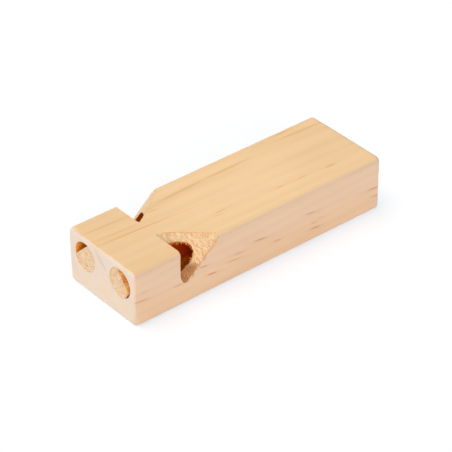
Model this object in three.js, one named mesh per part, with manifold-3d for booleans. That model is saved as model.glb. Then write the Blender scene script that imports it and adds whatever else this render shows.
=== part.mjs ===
// A two-note wooden train whistle.
//
// The body is one block of pine with two blind bores drilled side by side from the mouth end. A notch sawn
// into each upper corner opens one bore, and the notch's sloping ramp ends in the blowing edge. A short
// dowel with one flat side plugs the mouth end of each bore, and the air enters over its flat. The low bore
// is deeper than the high one, so the two notes sound together as a chord.
//
// Millimetres. +Y runs from the mouth end to the closed end, +X is the player's right and +Z is up. The
// origin is the middle of the underside.
import * as THREE from "three";
import { RoundedBoxGeometry } from "three/addons/geometries/RoundedBoxGeometry.js";
import { mergeVertices, toCreasedNormals } from "three/addons/utils/BufferGeometryUtils.js";
import Module from "manifold-3d";

const { degToRad } = THREE.MathUtils;

// The block of pine.
const BLOCK_LENGTH = 100;
const BLOCK_WIDTH = 33.5;
const BLOCK_HEIGHT = 20;
const EDGE_RADIUS = 2;

// The two bores. Each is set out from its own upper corner, where the notch will open it.
const BORE_RADIUS = 5.1;
const BORE_ROOF = 1.6; // wood between a bore and the top face
const LOW_SIDE_WALL = 3.75; // wood between the low bore and the left side
const HIGH_SIDE_WALL = 2.05; // wood between the high bore and the right side
const END_WALL = 5; // wood behind the low bore's drill point
const NOTE_RATIO = 6 / 5; // low chamber's length to the high one's, a minor third
const DRILL_POINT_ANGLE = 118;

// The notches, sawn across the two upper corners.
const WINDWAY_LENGTH = 18; // from the mouth end to the notches' square walls
const LOW_NOTCH_LENGTH = 17; // along the corner, from the wall to the end of the ramp
const HIGH_NOTCH_LENGTH = 16;
const LOW_NOTCH_LEAN = 49; // degrees from straight down to the direction that the saw cuts in
const HIGH_NOTCH_LEAN = 44;
const RAMP_ANGLE = 30;
const NOTCH_TIP_RADIUS = 0.6;

// The fipple plugs.
const PLUG_CLEARANCE = 0.15; // round the plug, all the way
const PLUG_RECESS = 0.4; // the plug's end lies this far inside the mouth end
const LOW_WINDWAY_HEIGHT = 2.8; // from the plug's flat to the bore's wall
const HIGH_WINDWAY_HEIGHT = 3.1;
const LOW_PLUG_TURN = 4; // each flat is glued in a little clockwise of the corner it faces
const HIGH_PLUG_TURN = 9;

// Facets.
const BORE_STEPS = 48;
const EDGE_STEPS = 5;
const TIP_STEPS = 6;
const CREASE_ANGLE = 30; // facets that meet at more than this are shaded as a sharp edge

const CUT_MARGIN = 1; // a cutter passes the face that it opens by this much
const MERGE_DISTANCE = 1e-4;

const pine = new THREE.MeshStandardMaterial({ color: 0xf0cb9b, roughness: 0.62, metalness: 0 });
const dowelWood = new THREE.MeshStandardMaterial({ color: 0xebc9a0, roughness: 0.75, metalness: 0 });

const mouthEnd = -BLOCK_LENGTH / 2;
const notchWall = mouthEnd + WINDWAY_LENGTH;
const drillPointLength = BORE_RADIUS / Math.tan(degToRad(DRILL_POINT_ANGLE / 2));
const lowChamberLength = BLOCK_LENGTH - WINDWAY_LENGTH - END_WALL - drillPointLength;
const boreHeight = BLOCK_HEIGHT - BORE_ROOF - BORE_RADIUS;

// side is -1 on the player's left and 1 on the right. turn is clockwise as the player sees the mouth end.
const lowVoice = {
  side: -1,
  boreX: -BLOCK_WIDTH / 2 + LOW_SIDE_WALL + BORE_RADIUS,
  chamberLength: lowChamberLength,
  notchLength: LOW_NOTCH_LENGTH,
  notchLean: degToRad(LOW_NOTCH_LEAN),
  windwayHeight: LOW_WINDWAY_HEIGHT,
  turn: LOW_PLUG_TURN,
};
const highVoice = {
  side: 1,
  boreX: BLOCK_WIDTH / 2 - HIGH_SIDE_WALL - BORE_RADIUS,
  chamberLength: lowChamberLength / NOTE_RATIO,
  notchLength: HIGH_NOTCH_LENGTH,
  notchLean: degToRad(HIGH_NOTCH_LEAN),
  windwayHeight: HIGH_WINDWAY_HEIGHT,
  turn: HIGH_PLUG_TURN,
};

const wasm = await Module();
wasm.setup();

function toSolid(geometry) {
  const surface = new THREE.BufferGeometry();
  surface.setAttribute("position", geometry.getAttribute("position"));
  surface.setIndex(geometry.index);
  const merged = mergeVertices(surface, MERGE_DISTANCE);
  const mesh = new wasm.Mesh({
    numProp: 3,
    vertProperties: merged.attributes.position.array,
    triVerts: new Uint32Array(merged.index.array),
  });
  return new wasm.Manifold(mesh);
}

function toGeometry(solid) {
  const { vertProperties, triVerts } = solid.getMesh();
  const geometry = new THREE.BufferGeometry();
  geometry.setAttribute("position", new THREE.BufferAttribute(vertProperties, 3));
  geometry.setIndex(new THREE.BufferAttribute(triVerts, 1));
  return toCreasedNormals(geometry, degToRad(CREASE_ANGLE));
}

// The planed block with its softened edges.
function blockBlank() {
  const blank = new RoundedBoxGeometry(BLOCK_WIDTH, BLOCK_LENGTH, BLOCK_HEIGHT, EDGE_STEPS, EDGE_RADIUS);
  blank.translate(0, 0, BLOCK_HEIGHT / 2);
  return blank;
}

// What the drill takes out: a bore from outside the mouth end to its conical point.
function boreCutter({ boreX, chamberLength }) {
  const depth = WINDWAY_LENGTH + chamberLength;
  const profile = [
    new THREE.Vector2(0, -CUT_MARGIN),
    new THREE.Vector2(BORE_RADIUS, -CUT_MARGIN),
    new THREE.Vector2(BORE_RADIUS, depth),
    new THREE.Vector2(0, depth + drillPointLength),
  ];
  const cutter = new THREE.LatheGeometry(profile, BORE_STEPS);
  cutter.translate(boreX, mouthEnd, boreHeight);
  return cutter;
}

// What the saw takes out of one corner. The profile's first axis runs from the corner into the block, and its
// second axis runs along the block from the square wall.
function notchCutter({ side, notchLength, notchLean }) {
  const ramp = degToRad(RAMP_ANGLE);
  const sharpDepth = notchLength * Math.tan(ramp);
  const tipDepth = sharpDepth - NOTCH_TIP_RADIUS / Math.tan((Math.PI / 2 - ramp) / 2);
  const profile = new THREE.Shape();
  profile.moveTo(-CUT_MARGIN, 0);
  profile.lineTo(tipDepth, 0);
  profile.absarc(tipDepth, NOTCH_TIP_RADIUS, NOTCH_TIP_RADIUS, -Math.PI / 2, ramp, false);
  profile.lineTo(-CUT_MARGIN, notchLength + CUT_MARGIN / Math.tan(ramp));
  profile.closePath();

  const reach = 2 * sharpDepth + CUT_MARGIN;
  const cutter = new THREE.ExtrudeGeometry(profile, {
    depth: 2 * reach,
    bevelEnabled: false,
    curveSegments: TIP_STEPS,
  });
  cutter.translate(0, 0, -reach);

  const inward = new THREE.Vector3(-side * Math.sin(notchLean), 0, -Math.cos(notchLean));
  const along = new THREE.Vector3(0, 1, 0);
  const across = new THREE.Vector3().crossVectors(inward, along);
  const placing = new THREE.Matrix4().makeBasis(inward, along, across);
  placing.setPosition((side * BLOCK_WIDTH) / 2, notchWall, BLOCK_HEIGHT);
  cutter.applyMatrix4(placing);
  return cutter;
}

function bodyMesh() {
  let body = toSolid(blockBlank());
  for (const voice of [lowVoice, highVoice]) {
    body = body.subtract(toSolid(boreCutter(voice)));
    body = body.subtract(toSolid(notchCutter(voice)));
  }
  return new THREE.Mesh(toGeometry(body), pine);
}

// A dowel with one side planed flat. Its section is drawn with the flat facing up, and it is then turned to
// face its corner of the block.
function plugMesh({ side, boreX, windwayHeight, turn }) {
  const radius = BORE_RADIUS - PLUG_CLEARANCE;
  const flatHeight = BORE_RADIUS - windwayHeight;
  const flatAngle = Math.asin(flatHeight / radius);
  const section = new THREE.Shape();
  section.absarc(0, 0, radius, Math.PI - flatAngle, 2 * Math.PI + flatAngle, false);
  section.closePath();

  const plug = new THREE.ExtrudeGeometry(section, {
    depth: WINDWAY_LENGTH - PLUG_RECESS,
    bevelEnabled: false,
    curveSegments: BORE_STEPS,
  });
  plug.rotateX(Math.PI / 2);
  plug.rotateY(degToRad(side * 45 + turn));

  const mesh = new THREE.Mesh(plug, dowelWood);
  mesh.position.set(boreX, notchWall, boreHeight);
  return mesh;
}

const whistle = new THREE.Group();

const body = bodyMesh();
body.name = "whistle_body";
whistle.add(body);

const lowPlug = plugMesh(lowVoice);
lowPlug.name = "low_note_plug";
whistle.add(lowPlug);

const highPlug = plugMesh(highVoice);
highPlug.name = "high_note_plug";
whistle.add(highPlug);

export default whistle;
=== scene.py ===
# %% [markdown]
# # A two-note wooden train whistle
#
# The whistle is one planed block of pine. Two blind bores are drilled into it side by side from the mouth
# end, a notch is sawn across each upper corner so that it opens one bore, and a short dowel with one flat
# side plugs the mouth end of each bore. The CAD frame already holds these three pieces at their real size.
# This lesson gives them the finish of the real thing: sanded edges, rough saw cuts with torn fibres, the
# pine's grain, and the light of a small product photograph.
#
# Everything is in metres, with +Y from the mouth end to the closed end, +X to the player's right and +Z up.

# %% Load the frame
import bpy
import math
from mathutils import Matrix, Vector


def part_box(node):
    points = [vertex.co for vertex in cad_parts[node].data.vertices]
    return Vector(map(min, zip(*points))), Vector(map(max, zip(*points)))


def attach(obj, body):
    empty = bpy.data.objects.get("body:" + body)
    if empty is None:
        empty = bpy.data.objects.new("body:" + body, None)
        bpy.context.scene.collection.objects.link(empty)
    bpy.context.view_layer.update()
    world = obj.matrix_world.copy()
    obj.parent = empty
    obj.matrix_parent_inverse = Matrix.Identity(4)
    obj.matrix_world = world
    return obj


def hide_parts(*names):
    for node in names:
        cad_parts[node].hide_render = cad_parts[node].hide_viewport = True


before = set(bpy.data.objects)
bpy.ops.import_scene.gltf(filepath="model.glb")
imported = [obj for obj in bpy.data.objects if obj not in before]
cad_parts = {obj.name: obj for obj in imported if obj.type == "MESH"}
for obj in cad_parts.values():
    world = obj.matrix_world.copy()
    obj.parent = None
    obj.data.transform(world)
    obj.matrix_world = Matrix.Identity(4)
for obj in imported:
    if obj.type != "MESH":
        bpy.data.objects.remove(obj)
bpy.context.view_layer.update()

MM = 0.001
block_low, block_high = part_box("whistle_body")
block_size = block_high - block_low
block_middle = (block_low + block_high) / 2
print("block", [round(side / MM, 2) for side in block_size], "mm")

# %% [markdown]
# ## The camera
#
# The photograph was taken from well above the mouth end with a long lens, so the block's long edges hardly
# converge. A camera is placed on a sphere round the whistle by its azimuth and elevation. It is then rolled
# by a small angle, and moved a little sideways and up so that the whistle lies where it does in the
# photograph. A long lens far away keeps the perspective as flat as in a real product picture.

# %% Camera
CAMERA_AZIMUTH = math.radians(50.642)
CAMERA_ELEVATION = math.radians(35.022)
CAMERA_ROLL = math.radians(-0.425)
CAMERA_DISTANCE = 694.62 * MM
CAMERA_RIGHT = -0.664 * MM
CAMERA_UP = 5.338 * MM
SENSOR_WIDTH = 36.0
LENS = 174.08


def direction(azimuth, elevation):
    """The unit vector from the whistle towards something at this azimuth and elevation."""
    level = math.cos(elevation)
    return Vector((math.sin(azimuth) * level, -math.cos(azimuth) * level, math.sin(elevation)))


def in_scene(name, data):
    """A new object in the scene's own collection."""
    thing = bpy.data.objects.new(name, data)
    bpy.context.scene.collection.objects.link(thing)
    return thing


back = direction(CAMERA_AZIMUTH, CAMERA_ELEVATION)
level_right = Vector((math.cos(CAMERA_AZIMUTH), math.sin(CAMERA_AZIMUTH), 0))
level_up = back.cross(level_right)
right = math.cos(CAMERA_ROLL) * level_right + math.sin(CAMERA_ROLL) * level_up
up = back.cross(right)

camera_data = bpy.data.cameras.new("photo_camera")
camera_data.sensor_width = SENSOR_WIDTH
camera_data.lens = LENS
camera_data.clip_start = 0.01
camera_data.clip_end = 20
camera = in_scene("photo_camera", camera_data)
axes = Matrix((right, up, back)).transposed().to_4x4()
place = back * CAMERA_DISTANCE + right * CAMERA_RIGHT + up * CAMERA_UP
camera.matrix_world = Matrix.Translation(place) @ axes
bpy.context.scene.camera = camera
print("camera stands at", [round(value, 3) for value in place])

# %% [markdown]
# ## Helpers for nodes
#
# Both geometry and materials are made with nodes here, and most of the nodes do arithmetic. So an output of
# a node is kept as a `Wire`, and a formula with wires in it adds the nodes that work it out: with two wires,
# `depth * 2.0 + reach` is a multiply node and an add node. Vector nodes are taken where a vector takes part.
#
# `add` makes any other node in a tree, and `after` does the same in the tree that its wires come from. The
# short helpers after them each add one common kind of node. `geometry_tree` gives a node group its named
# inputs, and `grouped` uses a whole tree as one node. With these, a tree reads like a recipe.

# %% Node helpers
class Wire:
    """One output of a node. A formula with wires in it adds the nodes that work it out."""

    def __init__(self, socket):
        self.socket = socket
        self.tree = socket.id_data

    def __add__(self, other):
        return maths("ADD", self, other)

    def __radd__(self, other):
        return maths("ADD", other, self)

    def __sub__(self, other):
        return maths("SUBTRACT", self, other)

    def __rsub__(self, other):
        return maths("SUBTRACT", other, self)

    def __mul__(self, other):
        return maths("MULTIPLY", self, other)

    def __truediv__(self, other):
        return maths("DIVIDE", self, other)

    def __rtruediv__(self, other):
        return maths("DIVIDE", other, self)

    def __pow__(self, other):
        return maths("POWER", self, other)

    def __gt__(self, other):
        return maths("GREATER_THAN", self, other)

    def __lt__(self, other):
        return maths("LESS_THAN", self, other)

    def __neg__(self):
        return maths("MULTIPLY", self, -1.0)

    def __abs__(self):
        return maths("ABSOLUTE", self)


class Added:
    """A node that was added. Its outputs are read as wires, by name or by number."""

    def __init__(self, node):
        self.node = node
        self.inputs = node.inputs

    def __getitem__(self, key):
        return Wire(self.node.outputs[key])


def feed(socket, value):
    """Links a wire to an input, or sets the input to a plain value."""
    if isinstance(value, Wire):
        value.tree.links.new(value.socket, socket)
    else:
        socket.default_value = value


def add(tree, kind, inputs=None, **settings):
    """Adds a node. An input's key is its name or its number, and its value a plain value or a wire."""
    node = tree.nodes.new(kind)
    for name, value in settings.items():
        setattr(node, name, value)
    for key, value in (inputs or {}).items():
        if isinstance(key, int):
            socket = node.inputs[key]
        else:
            socket = next(s for s in node.inputs if s.enabled and s.name == key)
        feed(socket, value)
    return Added(node)


def after(kind, inputs, **settings):
    """Adds a node to the tree that its wires come from."""
    tree = next(value.tree for value in inputs.values() if isinstance(value, Wire))
    return add(tree, kind, inputs, **settings)


def is_vector(term):
    return isinstance(term, (tuple, Vector)) or isinstance(term, Wire) and term.socket.type == "VECTOR"


def maths(operation, *terms, clamp=False):
    """One maths node, for numbers or for vectors. A vector times a number scales the vector."""
    inputs = dict(enumerate(terms))
    if not any(is_vector(term) for term in terms):
        return after("ShaderNodeMath", inputs, operation=operation, use_clamp=clamp)[0]
    if operation == "MULTIPLY" and not is_vector(terms[1]):
        inputs = {"Vector": terms[0], "Scale": terms[1]}
        operation = "SCALE"
    result = "Value" if operation in ("LENGTH", "DOT_PRODUCT", "DISTANCE") else "Vector"
    return after("ShaderNodeVectorMath", inputs, operation=operation)[result]


def larger(first, second):
    return maths("MAXIMUM", first, second)


def smaller(first, second):
    return maths("MINIMUM", first, second)


def ramped(value, start, end, low=0.0, high=1.0, smooth=True):
    """low where the value is at start, high where it is at end, and a clamped step between them."""
    kind = "SMOOTHSTEP" if smooth else "LINEAR"
    inputs = {"Value": value, "From Min": start, "From Max": end, "To Min": low, "To Max": high}
    return after("ShaderNodeMapRange", inputs, interpolation_type=kind)["Result"]


def blended(factor, first, second):
    """The first number where the factor is 0, the second where it is 1, and a mixture between."""
    return after("ShaderNodeMix", {0: factor, 2: first, 3: second})[0]


def joined(x, y, z):
    return after("ShaderNodeCombineXYZ", {"X": x, "Y": y, "Z": z})["Vector"]


def parts_of(vector):
    return after("ShaderNodeSeparateXYZ", {0: vector})


def noise(vector, scale, detail=2.0, roughness=0.5):
    inputs = {"Vector": vector, "Scale": scale, "Detail": detail, "Roughness": roughness}
    return after("ShaderNodeTexNoise", inputs)


SOCKETS = {float: "NodeSocketFloat", int: "NodeSocketInt", Vector: "NodeSocketVector"}


def geometry_tree(name, sizes, takes_mesh=False):
    """A geometry group with one named input for each size, and its input node and output socket."""
    tree = bpy.data.node_groups.new(name, "GeometryNodeTree")
    tree.interface.new_socket("Geometry", in_out="OUTPUT", socket_type="NodeSocketGeometry")
    if takes_mesh:
        tree.interface.new_socket("Mesh", in_out="INPUT", socket_type="NodeSocketGeometry")
    for size_name, value in sizes.items():
        kind = SOCKETS[type(value)]
        socket = tree.interface.new_socket(size_name, in_out="INPUT", socket_type=kind)
        socket.default_value = value
    return tree, add(tree, "NodeGroupInput"), add(tree, "NodeGroupOutput").inputs["Geometry"]


def grouped(tree, group, sizes):
    """Another tree used as one node, with its named inputs filled."""
    return add(tree, "GeometryNodeGroup", sizes, node_tree=group)["Geometry"]


def resampled(curve, length):
    return after("GeometryNodeResampleCurve", {"Curve": curve, "Length": length}, mode="LENGTH")["Curve"]


def swept(path, outline, scale=1.0):
    """The outline's curve drawn along the path's, with closed ends."""
    inputs = {"Curve": path, "Profile Curve": outline, "Scale": scale, "Fill Caps": True}
    return after("GeometryNodeCurveToMesh", inputs)["Mesh"]


def moved(geometry, kind, vector):
    """Every point put at a Position, or shifted by an Offset."""
    return after("GeometryNodeSetPosition", {"Geometry": geometry, kind: vector})["Geometry"]


def stored(geometry, name, value, domain="POINT"):
    """A number kept on every point or face under a name."""
    inputs = {"Geometry": geometry, "Name": name, "Value": value}
    settings = {"data_type": "FLOAT", "domain": domain}
    return after("GeometryNodeStoreNamedAttribute", inputs, **settings)["Geometry"]


print("node helpers ready")

# %% [markdown]
# ## The blank: a planed block with sanded edges
#
# The real blank is sawn, planed and then run over a sanding belt, so its edges are round and its faces very
# slightly uneven. A beveled cube would give the radius but not the unevenness, which needs vertices on the
# faces too. So a fine cube grid is spread out first, with a few close rows near each edge.
#
# The four long edges are routed to 2 mm. The edges round the two ends were sanded by hand, so they differ:
# crisp at the mouth end's top and near side, and rounder at its bottom, its left side and the closed end.
# Each vertex is brought back to a slimmer bar with round long edges, and then pushed out from it by the end
# radius of its place, which rounds the ends too. Last, soft noise takes a few hundredths of a millimetre
# off, most of it on the edges, and nothing at all on the underside, which the whistle rests on.

# %% Blank tree
EDGE_RADIUS = 2.0 * MM
END_RADIUS = 0.9 * MM
SOFT_END_RADIUS = 2.0 * MM
FAR_END_RADIUS = 1.7 * MM
FLAT_CELL = 1.0 * MM
EDGE_CELLS = 8
SANDING_DEPTH = 0.10 * MM
SANDING_PATCH = 9.0 * MM


def spread_vectors(value, start, end, low, high):
    inputs = {"Vector": value, "From Min": start, "From Max": end, "To Min": low, "To Max": high}
    return after("ShaderNodeMapRange", inputs, data_type="FLOAT_VECTOR")["Vector"]


def make_blank_tree():
    sizes = {
        "Size": Vector(block_size),
        "Middle": Vector(block_middle),
        "Edge radius": EDGE_RADIUS,
        "End radius": END_RADIUS,
        "Soft end radius": SOFT_END_RADIUS,
        "Far end radius": FAR_END_RADIUS,
        "Flat cell": FLAT_CELL,
        "Edge cells": EDGE_CELLS,
        "Sanding depth": SANDING_DEPTH,
        "Sanding patch": SANDING_PATCH,
    }
    tree, given, result = geometry_tree("planed_blank", sizes)
    half = given["Size"] * 0.5
    radius = joined(given["Edge radius"], given["End radius"], given["Edge radius"])
    inner = half - radius
    cell = joined(given["Flat cell"], given["Flat cell"], given["Flat cell"])
    flat_cells = maths("CEIL", inner * 2.0 / cell)
    edge_cells = given["Edge cells"] * 2.0
    all_cells = flat_cells + joined(edge_cells, edge_cells, edge_cells)
    counts = parts_of(all_cells + (1, 1, 1))
    grid = {"Size": given["Size"]}
    for axis in "XYZ":
        grid[f"Vertices {axis}"] = counts[axis]
    cube = add(tree, "GeometryNodeMeshCube", grid)["Mesh"]

    # Spread the even rows, so that the flats get few of them and the edges many.
    place = add(tree, "GeometryNodeInputPosition")["Position"]
    away = abs(place)
    knee = half * (flat_cells / all_cells)

    # The radius at the ends: small at the mouth end's top and near side, larger everywhere else.
    raw = parts_of(place)
    knees = parts_of(knee)
    low_down = ramped(raw["Z"], knees["Z"] * -0.6, -knees["Z"])
    far_left = ramped(raw["X"], knees["X"] * -0.7, -knees["X"])
    soft = larger(low_down, far_left)
    at_mouth = blended(soft, given["End radius"], given["Soft end radius"])
    far_half = ramped(raw["Y"], -3 * MM, 3 * MM)
    end_radius = blended(far_half, at_mouth, given["Far end radius"])
    radius = joined(given["Edge radius"], end_radius, given["Edge radius"])
    inner = half - radius
    on_flat = spread_vectors(away, (0, 0, 0), knee, (0, 0, 0), inner)
    on_edge = spread_vectors(away, knee, half, (0, 0, 0), radius)
    spread = (on_flat + on_edge) * maths("SIGN", place)

    # The slimmer bar: clamp to the inner box, then go out across the bar by what the end radius leaves.
    clamped = smaller(larger(spread, -inner), inner)
    beyond = (spread - clamped) * (1, 0, 1)
    slimmer = given["Edge radius"] - end_radius
    out_by = smaller(maths("LENGTH", beyond), slimmer)
    core = clamped + maths("NORMALIZE", beyond) * out_by

    # The end radius all round it.
    outward = maths("NORMALIZE", spread - core)
    surface = core + outward * end_radius

    # Sanding: more off the edges than off the faces, and none off the underside.
    patches = 1.0 / given["Sanding patch"]
    unevenness = noise(surface, patches, detail=2.0)["Fac"]
    steepest = parts_of(abs(outward))
    flatness = larger(larger(steepest["X"], steepest["Y"]), steepest["Z"])
    off_edge = ramped(flatness, 1.0, 0.8, 0.35, 1.0)
    height = parts_of(surface)["Z"] + parts_of(half)["Z"]
    above_floor = ramped(height, 0.3 * MM, 3.0 * MM)
    depth = unevenness * off_edge * above_floor * given["Sanding depth"]
    feed(result, moved(cube, "Position", surface - outward * depth + given["Middle"]))
    return tree


blank_tree = make_blank_tree()
print("blank tree has", len(blank_tree.nodes), "nodes")

# %% [markdown]
# ## What the drill takes out
#
# Each bore is a plain drilled hole with the drill's cone at its end. A cylinder and a cone would do, but a
# circle swept along a line with Curve to Mesh makes both at once, because the sweep's scale can shrink to a
# point at the last ring. The bores' places come from the frame: each plug lies 0.15 mm clear of its bore
# all round, so the plug's box gives the bore's axis. A long drill wanders a little, so the high bore's line
# drops by a third of a millimetre between the mouth and its window.

# %% Bore tree
BORE_RADIUS = 5.1 * MM
PLUG_CLEARANCE = 0.15 * MM
PLUG_RADIUS = BORE_RADIUS - PLUG_CLEARANCE
DRILL_POINT_ANGLE = math.radians(118)
DRILL_POINT = BORE_RADIUS / math.tan(DRILL_POINT_ANGLE / 2)
CONE_SHRINK = 0.995
DROP_STARTS = 4 * MM
BORE_SIDES = 96
BORE_RINGS = 60
HIGH_BORE_DROP = 0.35 * MM
CUT_MARGIN = 1.0 * MM

low_plug_low, low_plug_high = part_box("low_note_plug")
high_plug_low, high_plug_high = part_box("high_note_plug")
bore_height = low_plug_low.z + PLUG_RADIUS
low_bore_x = low_plug_high.x - PLUG_RADIUS
high_bore_x = high_plug_low.x + PLUG_RADIUS
mouth_end = block_low.y
notch_wall = low_plug_high.y
END_WALL = 5.0 * MM
NOTE_RATIO = 6 / 5
low_chamber = block_high.y - END_WALL - DRILL_POINT - notch_wall
high_chamber = low_chamber / NOTE_RATIO


def make_bore_tree():
    sizes = {
        "Axis": Vector((low_bore_x, mouth_end, bore_height)),
        "Depth": notch_wall - mouth_end + low_chamber,
        "Radius": BORE_RADIUS,
        "Drill point": DRILL_POINT,
        "Margin": CUT_MARGIN,
        "Sides": BORE_SIDES,
        "Rings": BORE_RINGS,
        "Drop": 0.0,
    }
    tree, given, result = geometry_tree("bore_cutter", sizes)
    line = add(tree, "GeometryNodeCurvePrimitiveLine", {"Start": (0, 0, 0), "End": (0, 1, 0)})
    rings = add(tree, "GeometryNodeResampleCurve", {"Curve": line["Curve"], "Count": given["Rings"]})
    number = add(tree, "GeometryNodeInputIndex")["Index"]
    last_full = given["Rings"] - 2.0
    is_tip = number > last_full + 0.5
    share = maths("DIVIDE", number, last_full, clamp=True)
    reach = given["Depth"] + given["Margin"]
    along = share * reach - given["Margin"]
    along = along + is_tip * given["Drill point"]
    drop = ramped(along, DROP_STARTS, notch_wall - mouth_end, 0.0, -1.0)
    wander = joined(0.0, along, drop * given["Drop"])
    place = given["Axis"] + wander
    path = moved(rings["Curve"], "Position", place)
    circle = add(tree, "GeometryNodeCurvePrimitiveCircle",
                 {"Resolution": given["Sides"], "Radius": given["Radius"]})
    width = 1.0 - is_tip * CONE_SHRINK
    feed(result, swept(path, circle["Curve"], width))
    return tree


bore_tree = make_bore_tree()
print("bore axes, mm:", [round(value / MM, 2) for value in (low_bore_x, high_bore_x, bore_height)])

# %% [markdown]
# ## What the saw takes out
#
# Each notch is a wedge: a square wall towards the mouth, and a long ramp whose lower end is the blowing
# edge. The saw leaves the ramp woolly, because it cuts the soft fibres at a low angle and tears some of
# them up. A smooth wedge with a bump map would keep ruler-straight rims, and the rims are what gives the
# cut away. So the cutter itself is rough. Its profile is drawn with four points, with a small bevel between
# wall and ramp, and it is swept across the corner in cells of about a fifth of a millimetre. Noise then
# pushes the cells in and out, stretched along the saw's strokes, which fan out across the ramp.
#
# The rims get what the tool does to them. Close under the top face and the side face the cells go deeper,
# because the saw tore a lip out of the wood as it left it. Where a bore's roof is thin it has broken out,
# the square wall's arris is worn, and the foot of the high notch is swept up the ramp, because its saw
# wasn't held quite square.

# %% Notch tree
RAMP_SLOPE = math.tan(math.radians(30))
NOTCH_TIP_RADIUS = 0.35 * MM
NOTCH_TIP_STEP = 0.4 * MM
NOTCH_TIP_BEVEL = 0.8 * MM
TIP_SWEEP = 1.2 * MM
TIP_SWEEP_REACH = 2.6 * MM
LOW_NOTCH_LENGTH = 17 * MM
HIGH_NOTCH_LENGTH = 16.2 * MM
LOW_NOTCH_LEAN = math.radians(49)
HIGH_NOTCH_LEAN = math.radians(44.5)
SAW_CELL = 0.22 * MM
RAMP_ROUGHNESS = 0.12 * MM
WALL_ROUGHNESS = 0.05 * MM
STROKE_WIDTH = 0.42 * MM
STROKE_LENGTH = 1.6 * MM
STROKE_ANGLE_AT_EDGE = math.radians(-27)
STROKE_ANGLE_AT_TOP = math.radians(18)
TORN_LIP_HEIGHT = 1.5 * MM
TORN_LIP_AT_TOP = 0.58 * MM
TORN_LIP_AT_SIDE = 0.05 * MM
LOW_TORN_LIP = 0.28 * MM
ARRIS_WEAR = 0.40 * MM
ROOF_BREAKOUT = 0.7 * MM
SIDE_FULLNESS = 0.055


def stroke_angle(up_slope, ramp_length):
    """The saw strokes' angle to the line across the ramp, which turns from the blowing edge to the top."""
    start = ramp_length * 0.1
    end = ramp_length * 0.9
    return ramped(up_slope, start, end, STROKE_ANGLE_AT_EDGE, STROKE_ANGLE_AT_TOP, smooth=False)


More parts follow.
